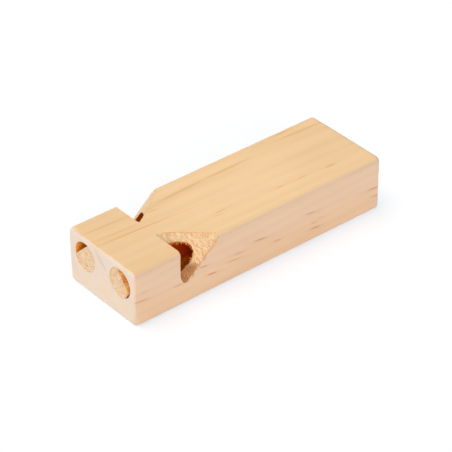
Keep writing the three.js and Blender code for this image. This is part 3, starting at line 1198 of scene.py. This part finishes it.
# %% [markdown]
# ## Torn fibres on the ramps
#
# Seen close up, a ramp is woolly. The saw pulled fibres out of the wood and left them lying in its strokes,
# standing up a little at the top rim, and hanging like teeth over the round window into the bore. One fibre
# is a thin three-sided spike that curls up towards its tip, and a tooth is a wide, flat one. Geometry Nodes
# lays it out three times: scattered over the ramp and turned with the saw's strokes, along the window's
# rim, and along the rim in the top face. Both rims are found by the tools' marks, because an edge between a
# sawn and a bored face is always the window.

# %% Fibre trees
FIBRE_WIDTH = 0.17 * MM
FIBRE_LENGTH = 1.1 * MM
FIBRE_CURL = 1.6
FIBRE_TAPER = 2.0
FIBRE_DENSITY = 6.0 / MM ** 2
RIM_SPACING = 0.20 * MM
TOOTH_SPACING = 0.60 * MM
TOOTH_LENGTH = 0.8 * MM
TOOTH_WIDTH = 0.66 * MM
TOOTH_SLANT = 0.45
TOOTH_TAPER = 0.9
TOOTH_FLATNESS = 0.4
FUZZ_LENGTH = 0.50 * MM
LOW_NOTCH_WOOL = 0.2
CLEAR_OF_WALL = 2.2 * MM
STANDS_PROUD = 0.30 * MM


def make_fibre_tree():
    """One fibre of unit length along +X. Its width and its curl towards +Z are counted in widths."""
    sizes = {"Width": 1.0, "Curl": FIBRE_CURL, "Taper": FIBRE_TAPER}
    tree, given, result = geometry_tree("fibre", sizes)
    line = add(tree, "GeometryNodeCurvePrimitiveLine", {"Start": (0, 0, 0), "End": (1, 0, 0)})
    path = add(tree, "GeometryNodeResampleCurve", {"Curve": line["Curve"], "Count": 5})
    tip = add(tree, "GeometryNodeSplineParameter")["Factor"]
    curled = moved(path["Curve"], "Offset", joined(0.0, 0.0, tip ** 1.6 * given["Curl"]))
    half_width = given["Width"] * 0.5
    section = add(tree, "GeometryNodeCurvePrimitiveCircle", {"Resolution": 3, "Radius": half_width})
    thinning = 1.0 - tip ** given["Taper"] * 0.93
    feed(result, swept(stored(curled, "tip", tip), section["Curve"], thinning))
    return tree


fibre_tree = make_fibre_tree()


def random_number(tree, low, high, seed):
    inputs = {"Min": low, "Max": high, "Seed": seed}
    return add(tree, "FunctionNodeRandomValue", inputs, data_type="FLOAT")["Value"]


def random_vector(tree, size, seed):
    inputs = {"Min": (-size, -size, -size), "Max": (size, size, size), "Seed": seed}
    return add(tree, "FunctionNodeRandomValue", inputs, data_type="FLOAT_VECTOR")["Value"]


def planted(tree, points, towards, standing, length, seed,
            width=FIBRE_WIDTH, taper=FIBRE_TAPER, flatness=1.0):
    """Fibres on points, each lying towards one direction with its curl turned to another."""
    turned = add(tree, "FunctionNodeAxesToRotation", {
        "Primary Axis": towards,
        "Secondary Axis": standing,
    }, primary_axis="X", secondary_axis="Z")["Rotation"]
    long = random_number(tree, 0.4, 1.4, seed) * length
    wide = random_number(tree, 0.6, 1.3, seed + 1) * width
    return add(tree, "GeometryNodeInstanceOnPoints", {
        "Points": points,
        "Instance": grouped(tree, fibre_tree, {"Taper": taper}),
        "Rotation": turned,
        "Scale": joined(long, wide, wide * flatness),
    })["Instances"]


def rim_of(mesh, selection, spacing):
    edges = after("GeometryNodeMeshToCurve", {"Mesh": mesh, "Selection": selection})
    return resampled(edges["Curve"], spacing)


def make_torn_tree():
    sizes = {
        "Side": 1.0,
        "Inward": inward(1, HIGH_NOTCH_LEAN),
        "Length": HIGH_NOTCH_LENGTH,
        "Density": FIBRE_DENSITY,
        "Fibre length": FIBRE_LENGTH,
        "Rim spacing": RIM_SPACING,
        "Tooth spacing": TOOTH_SPACING,
        "Tooth length": TOOTH_LENGTH,
        "Tooth width": TOOTH_WIDTH,
        "Fuzz length": FUZZ_LENGTH,
        "Clear of wall": CLEAR_OF_WALL,
        "Bore axis": Vector((high_bore_x, 0, bore_height)),
    }
    tree, given, result = geometry_tree("torn_fibres", sizes, takes_mesh=True)
    place = add(tree, "GeometryNodeInputPosition")["Position"]
    facing = add(tree, "GeometryNodeInputNormal")["Normal"]
    here = parts_of(place)
    own_side = here["X"] * given["Side"] > 0.0
    past_wall = here["Y"] > given["Clear of wall"] + notch_wall
    ramp_facing = parts_of(facing)["Y"] < -0.1

    # The ramp's own directions.
    lean = math.atan(RAMP_SLOPE)
    sinking = given["Inward"] * math.sin(lean)
    up_slope = (0, math.cos(lean), 0) - sinking
    across = maths("CROSS_PRODUCT", given["Inward"], (0, 1, 0))
    outward = maths("CROSS_PRODUCT", up_slope, across)
    from_wall = (here["Y"] - notch_wall) / math.cos(lean)
    ramp_length = given["Length"] / math.cos(lean)
    turn = stroke_angle(from_wall, ramp_length)
    stroke = across * maths("COSINE", turn) + up_slope * maths("SINE", turn)

    # Over the ramp.
    sawn = faces_of_tool(tree, SAWN)
    scattered = add(tree, "GeometryNodeDistributePointsOnFaces", {
        "Mesh": given["Mesh"],
        "Selection": sawn * own_side * ramp_facing * past_wall,
        "Density": given["Density"],
        "Seed": 5,
    })["Points"]
    stray = stroke + random_vector(tree, 0.35, 11)
    on_ramp = planted(tree, scattered, stray, outward, given["Fibre length"], 21)

    # Teeth along the window's rim.
    tool = tool_here(tree)
    at_window = maths("COMPARE", tool, (BORED + SAWN) / 2, 0.1) * own_side * past_wall
    window = rim_of(given["Mesh"], at_window, given["Tooth spacing"])
    to_axis = given["Bore axis"] - joined(here["X"], 0.0, here["Z"])
    sideways = maths("DOT_PRODUCT", maths("NORMALIZE", to_axis), across)
    hang = across * (sideways + TOOTH_SLANT) - up_slope * 0.8
    hang = hang + outward * 0.12 + random_vector(tree, 0.35, 31)
    teeth = planted(tree, window, hang, outward, given["Tooth length"], 41, given["Tooth width"],
                    TOOTH_TAPER, TOOTH_FLATNESS)

    # Fuzz along the rim in the top face.
    at_top = maths("COMPARE", tool, (PLANED + SAWN) / 2, 0.1) * own_side * past_wall
    top_rim = rim_of(given["Mesh"], at_top, given["Rim spacing"])
    rise = outward + stroke * 0.8 + random_vector(tree, 0.5, 51)
    fuzz = planted(tree, top_rim, rise, outward, given["Fuzz length"], 61)

    together = add(tree, "GeometryNodeJoinGeometry")
    for kind in (on_ramp, teeth, fuzz):
        feed(together.inputs["Geometry"], kind)
    real = add(tree, "GeometryNodeRealizeInstances", {"Geometry": together["Geometry"]})
    highest = block_high + Vector((1, 1, 1)) * STANDS_PROUD
    lowest = block_low - Vector((1, 1, 0)) * STANDS_PROUD
    kept = larger(smaller(place, highest), lowest)
    feed(result, finished_as(moved(real["Geometry"], "Position", kept), torn_fibre))
    return tree


torn_tree = make_torn_tree()
notches = (("low_notch_fibres", -1.0, LOW_NOTCH_LENGTH, LOW_NOTCH_LEAN, low_bore_x, LOW_NOTCH_WOOL),
           ("high_notch_fibres", 1.0, HIGH_NOTCH_LENGTH, HIGH_NOTCH_LEAN, high_bore_x, 1.0))
for name, side, length, lean, bore_x, wool in notches:
    sizes = {
        "Side": side,
        "Inward": inward(side, lean),
        "Length": length,
        "Bore axis": Vector((bore_x, 0, bore_height)),
        "Fibre length": FIBRE_LENGTH * wool,
        "Tooth length": TOOTH_LENGTH * wool,
        "Tooth width": TOOTH_WIDTH * wool,
        "Fuzz length": FUZZ_LENGTH * wool,
    }
    fibres = made(name, torn_tree, sizes, start=pine_block.data.copy())
    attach(fibres, "root")

# %% [markdown]
# ## The plugs
#
# Each plug is a short dowel with one side planed flat, glued into its bore with the flat towards the
# notch. Its mouth end was sawn, so it is coarse end grain, and that is what the camera sees. A swept
# D-shaped outline gives clean sides but only one big polygon at the end. So a slab of fine cells, with its
# end faces roughened by noise, is crossed with that D-shaped bar: the bar gives the outline and the slab
# gives the end. The dowels are a tight fit that isn't quite central, and the high one lost the lower corner
# of its flat when it was driven in.

# %% Plug tree
PLUG_CELL = 0.22 * MM
GLUED_RADIUS = 5.03 * MM
END_ROUGHNESS = 0.22 * MM
PLUG_PIT = 0.45 * MM
FLAT_ROUGHNESS = 0.16 * MM
LOW_FLAT_OFFSET = 2.5 * MM
HIGH_FLAT_OFFSET = 1.95 * MM
LOW_FLAT_FACES = math.radians(133)
HIGH_FLAT_FACES = math.radians(38)
LOW_FLAT_BOW = 0.05 * MM
HIGH_FLAT_BOW = 0.0 * MM
LOW_RECESS = 0.20 * MM
HIGH_RECESS = 0.12 * MM
CORNER_REACH = 2.4 * MM
HIGH_CORNER_WEAR = 0.9 * MM
WORN_AT = math.radians(76)
LOW_OFF_CENTRE = Vector((0.05, 0, 0.03)) * MM
HIGH_OFF_CENTRE = Vector((0.04, 0, -0.04)) * MM


def make_plug_tree():
    sizes = {
        "Axis": Vector((high_bore_x, 0, bore_height)),
        "Mouth end": high_plug_low.y,
        "Inner end": high_plug_high.y,
        "Radius": GLUED_RADIUS,
        "Flat offset": HIGH_FLAT_OFFSET,
        "Flat faces": HIGH_FLAT_FACES,
        "Flat bow": HIGH_FLAT_BOW,
        "Corner wear": 0.0,
        "Worn at": WORN_AT,
        "End roughness": END_ROUGHNESS,
        "Cell": PLUG_CELL,
    }
    tree, given, result = geometry_tree("fipple_plug", sizes)
    middle = (given["Mouth end"] + given["Inner end"]) * 0.5
    length = given["Inner end"] - given["Mouth end"]
    across = given["Radius"] * 2.2
    cells = across / given["Cell"]
    slab = add(tree, "GeometryNodeMeshCube", {
        "Size": joined(across, length, across),
        "Vertices X": cells,
        "Vertices Y": 3,
        "Vertices Z": cells,
    })["Mesh"]
    place = add(tree, "GeometryNodeInputPosition")["Position"]
    end = parts_of(add(tree, "GeometryNodeInputNormal")["Normal"])["Y"]
    pits = noise(place + given["Axis"], 1 / PLUG_PIT, detail=3.0, roughness=0.6)
    depth = pits["Fac"] * given["End roughness"]
    inwards = -(end * depth)
    carried = given["Axis"] + joined(0.0, middle + inwards, 0.0)
    slab = moved(slab, "Offset", carried)

    # The D-shaped bar. Sweeping along +Y lays the outline's second axis down -Z, so its angles are negated.
    half_flat = maths("ARCCOSINE", given["Flat offset"] / given["Radius"])
    arc = add(tree, "GeometryNodeCurveArc", {
        "Resolution": 96,
        "Radius": given["Radius"],
        "Start Angle": half_flat - given["Flat faces"],
        "Sweep Angle": 2 * math.pi - half_flat * 2.0,
    }, mode="RADIUS")
    outline = add(tree, "GeometryNodeSetSplineCyclic", {"Geometry": arc["Curve"], "Cyclic": True})
    outline = resampled(outline["Geometry"], given["Cell"])
    line = add(tree, "GeometryNodeCurvePrimitiveLine", {
        "Start": joined(0.0, given["Mouth end"] - CUT_MARGIN, 0.0),
        "End": joined(0.0, given["Inner end"] + CUT_MARGIN, 0.0),
    })
    path = add(tree, "GeometryNodeResampleCurve", {"Curve": line["Curve"], "Count": 60})
    bar = swept(path["Curve"], outline)

    # The planed flat: slightly bowed, and rough like a hand-planed face.
    cosine = maths("COSINE", given["Flat faces"])
    sine = maths("SINE", given["Flat faces"])
    facing = joined(cosine, 0.0, sine)
    beside = joined(-sine, 0.0, cosine)
    bar_place = add(tree, "GeometryNodeInputPosition")["Position"]
    outwards = maths("DOT_PRODUCT", bar_place, facing)
    sideways = maths("DOT_PRODUCT", bar_place, beside)
    on_flat = outwards > given["Flat offset"] - 0.02 * MM
    share = sideways / (given["Radius"] * 0.9)
    crown = maths("SUBTRACT", 1.0, share * share, clamp=True)
    tufts = noise(bar_place / (0.45 * MM, 4 * MM, 0.45 * MM), 1.0)["Fac"]
    rise = crown * given["Flat bow"] + (tufts - 0.6) * (2 * FLAT_ROUGHNESS)
    offset = given["Axis"] + facing * (rise * on_flat)

    # The flat's lower corner is broken off: its points move towards the dowel's middle.
    worn_angle = given["Flat faces"] - given["Worn at"]
    corner = joined(maths("COSINE", worn_angle), 0.0, maths("SINE", worn_angle))
    corner = corner * given["Radius"]
    level = bar_place * (1, 0, 1)
    away = maths("DISTANCE", level, corner)
    worn = ramped(away, CORNER_REACH, 0.0) * given["Corner wear"]
    offset = offset - maths("NORMALIZE", level) * worn
    bar = moved(bar, "Offset", offset)
    both = add(tree, "GeometryNodeMeshBoolean", operation="INTERSECT", solver="MANIFOLD")
    feed(both.inputs["Mesh 2"], slab)
    feed(both.inputs["Mesh 2"], bar)
    real = add(tree, "GeometryNodeRealizeInstances", {"Geometry": softly_shaded(both["Mesh"])})
    feed(result, finished_as(real["Geometry"], dowel_wood))
    return tree


plug_tree = make_plug_tree()
low_plug = made("low_plug", plug_tree, {
    "Axis": Vector((low_bore_x, 0, bore_height)) + LOW_OFF_CENTRE,
    "Mouth end": mouth_end + LOW_RECESS - END_ROUGHNESS / 2,
    "Flat offset": LOW_FLAT_OFFSET,
    "Flat faces": LOW_FLAT_FACES,
    "Flat bow": LOW_FLAT_BOW,
})
high_plug = made("high_plug", plug_tree, {
    "Axis": Vector((high_bore_x, 0, bore_height)) + HIGH_OFF_CENTRE,
    "Mouth end": mouth_end + HIGH_RECESS - END_ROUGHNESS / 2,
    "Flat offset": HIGH_FLAT_OFFSET,
    "Flat faces": HIGH_FLAT_FACES,
    "Flat bow": HIGH_FLAT_BOW,
    "Corner wear": HIGH_CORNER_WEAR,
})
for plug, node in ((low_plug, "low_note_plug"), (high_plug, "high_note_plug")):
    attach(plug, "root")
    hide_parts(node)

# %% [markdown]
# ## The floor, the world and the lamps
#
# The photograph is a product picture on white. Lighting a floor until it turns white would also burn out
# the pale wood. So the floor and the world look white to the camera only: Light Path's Is Camera Ray picks
# a glow for what the camera sees, and a plain white surface for the light that bounces off it. The floor's
# glow is mixed with a little ordinary paint, so that the whistle's shadow still shows. The paint takes more
# of the red than of the blue, which makes the shadow a cool grey, and it fades out in front of the mouth
# end, where the light comes from. The floor lies a hair below the whistle, so that the two planes never
# fight over a pixel when they are seen from below.
#
# One small key light comes from the upper left, on the mouth's side. It rakes over the near ramp and leaves
# the right side of the block to the world's even light and a faint cool fill, as in the photograph. Its
# shadow on the floor would be too sharp, so light linking takes the floor away from it, and a second, very
# soft key lights the floor alone.

# %% Stage and light
FLOOR_SIZE = 4.0
FLOOR_GAP = 0.02 * MM
FLOOR_WHITE = tone(250, 250, 250)
FLOOR_GLOW = (0.357, 0.53, 0.648, 1.0)
FLOOR_SHADOW_SHARE = (0.74, 0.55, 0.42, 1.0)
FLOOR_UNSHADOWED = (1.03, 1.03, 1.03, 1.0)
FRONT_FADE = 0.7
WORLD_LEVEL = 0.33
WORLD_COLOUR = (0.97, 0.985, 1.0, 1.0)
KEY_TOWARDS = Vector((-0.305, -0.61, 0.73))
KEY_POWER = 2.0
KEY_COLOUR = (1.0, 0.985, 0.955)
KEY_SOFTNESS = math.radians(8)
FLOOR_KEY_TOWARDS = Vector((-0.26, -0.20, 0.94))
FLOOR_KEY_POWER = 1.6
FLOOR_KEY_SOFTNESS = math.radians(60)
FILL_TOWARDS = Vector((0.84, -0.42, 0.30))
FILL_POWER = 1.25
FILL_COLOUR = (0.94, 0.97, 1.0)
FILL_SOFTNESS = math.radians(40)


def seen_as(tree, output_type, lit, seen):
    """Rays from the camera and reflections meet the seen shader, and light that bounces the lit one."""
    rays = add(tree, "ShaderNodeLightPath")
    mirrored = rays["Is Glossy Ray"] + rays["Is Transmission Ray"]
    directly = maths("ADD", rays["Is Camera Ray"], mirrored, clamp=True)
    mix = add(tree, "ShaderNodeMixShader", {0: directly, 1: Wire(lit.outputs[0]), 2: seen[0]})
    output = next(n for n in tree.nodes if n.type == output_type)
    feed(output.inputs["Surface"], mix[0])


def make_floor():
    material, tree, shader = new_material("white_floor")
    painted(shader, FLOOR_WHITE, 1.0, 0.0)
    along = parts_of(add(tree, "ShaderNodeTexCoord")["Object"])["Y"]
    in_front = ramped(along, mouth_end + 2.5 * MM, mouth_end + 0.5 * MM, 0.0, FRONT_FADE)
    glow = add(tree, "ShaderNodeEmission", {
        "Color": mixed(in_front, FLOOR_GLOW, FLOOR_UNSHADOWED),
        "Strength": 1.0,
    })
    paint = add(tree, "ShaderNodeBsdfDiffuse", {
        "Color": mixed(in_front, FLOOR_SHADOW_SHARE, (0.0, 0.0, 0.0, 1.0)),
    })
    seen = add(tree, "ShaderNodeAddShader", {0: glow[0], 1: paint[0]})
    seen_as(tree, "OUTPUT_MATERIAL", shader, seen)
    half = FLOOR_SIZE / 2
    mesh = bpy.data.meshes.new("white_floor")
    corners = [(x, y, -FLOOR_GAP) for x, y in ((-half, -half), (half, -half), (half, half), (-half, half))]
    mesh.from_pydata(corners, [], [(0, 1, 2, 3)])
    mesh.materials.append(material)
    return in_scene("white_floor", mesh)


def make_world():
    world = bpy.data.worlds.new("studio")
    world.use_nodes = True
    tree = world.node_tree
    light = next(n for n in tree.nodes if n.type == "BACKGROUND")
    light.inputs["Color"].default_value = WORLD_COLOUR
    light.inputs["Strength"].default_value = WORLD_LEVEL
    white = add(tree, "ShaderNodeBackground", {"Color": (1, 1, 1, 1), "Strength": 1.0})
    seen_as(tree, "OUTPUT_WORLD", light, white)
    bpy.context.scene.world = world


def make_lamp(name, towards, power, colour, softness):
    data = bpy.data.lights.new(name, "SUN")
    data.energy = power
    data.color = colour
    data.angle = softness
    lamp = in_scene(name, data)
    lamp.rotation_euler = towards.to_track_quat("Z", "Y").to_euler()
    return lamp


def link_to_floor(lamp, state):
    """INCLUDE makes the lamp light the floor alone, EXCLUDE everything but the floor."""
    receivers = bpy.data.collections.new(lamp.name + "_receivers")
    receivers.objects.link(floor)
    receivers.collection_objects[0].light_linking.link_state = state
    lamp.light_linking.receiver_collection = receivers


floor = make_floor()
make_world()
key = make_lamp("key_light", KEY_TOWARDS, KEY_POWER, KEY_COLOUR, KEY_SOFTNESS)
floor_key = make_lamp("floor_key", FLOOR_KEY_TOWARDS, FLOOR_KEY_POWER, (1.0, 1.0, 1.0), FLOOR_KEY_SOFTNESS)
link_to_floor(key, "EXCLUDE")
link_to_floor(floor_key, "INCLUDE")
make_lamp("cool_fill", FILL_TOWARDS, FILL_POWER, FILL_COLOUR, FILL_SOFTNESS)
bpy.context.scene.view_settings.view_transform = "Standard"
print("world level", WORLD_LEVEL, "key", KEY_POWER, "fill", FILL_POWER)
